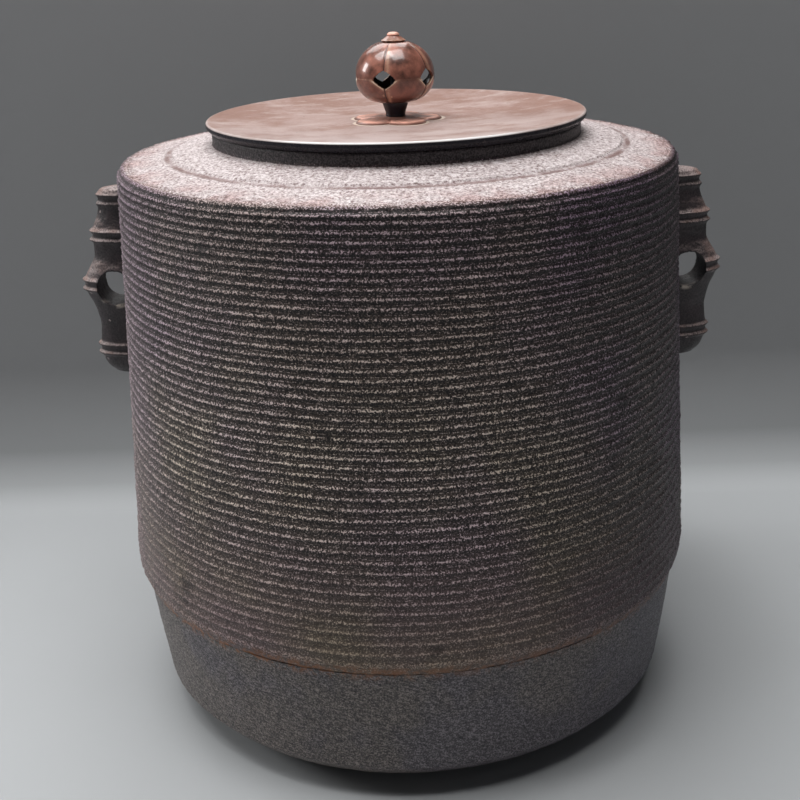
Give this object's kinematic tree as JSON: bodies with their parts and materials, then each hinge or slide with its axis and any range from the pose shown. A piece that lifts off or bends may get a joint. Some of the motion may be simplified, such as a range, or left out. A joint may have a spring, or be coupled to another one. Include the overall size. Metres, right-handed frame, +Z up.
{
  "type": "tea-ceremony water kettle",
  "caption": "Wide cast-iron water kettle with thread lines on a flared wall, bamboo-shaped ring lugs, a let-in rounded bottom and a loose copper lid with a pierced round knob.",
  "frame": {"origin": "centre of the flat underside, on the table", "axes": "+Z up along the kettle's axis, X through the two ring lugs, -Y towards the viewer of the picture"},
  "size_m": [0.2398, 0.2156, 0.2481],
  "materials": {
    "thread_line_iron": "rough, lacquer-browned, with raised thread lines",
    "bottom_iron": "fine sand-cast grain with rust specks",
    "lug_iron": "smooth cast, worn brown on the nodes",
    "lid_copper": "satin brown patina with a dark rim",
    "petal_copper": "satin orange-brown copper",
    "knob_copper": "polished brown patina",
    "stem_bronze": "dark patina"
  },
  "bodies": {
    "kettle": {"kettle_body": "thread_line_iron", "kettle_bottom": "bottom_iron", "lug_left": "lug_iron", "lug_right": "lug_iron", "singing_irons": "bottom_iron"},
    "lid": {"lid_plate": "lid_copper", "lid_locating_ring": "lid_copper", "knob_seat_petals": "petal_copper"},
    "knob": {"knob_spindle": "stem_bronze", "lid_rivet_washer": "stem_bronze", "knob_lower_shell": "knob_copper", "knob_upper_shell": "knob_copper", "finial_washer": "knob_copper", "finial_button": "petal_copper"}
  },
  "joints": [
    {"name": "lid_lift", "type": "slide", "parent": "kettle", "child": "lid", "axis": [0, 0, 1], "range_m": [0, 0.12]},
    {"name": "knob_turn", "type": "hinge", "parent": "lid", "child": "knob", "pos_m": [0, 0, 0.21795], "axis": [0, 0, 1], "continuous": true}
  ]
}
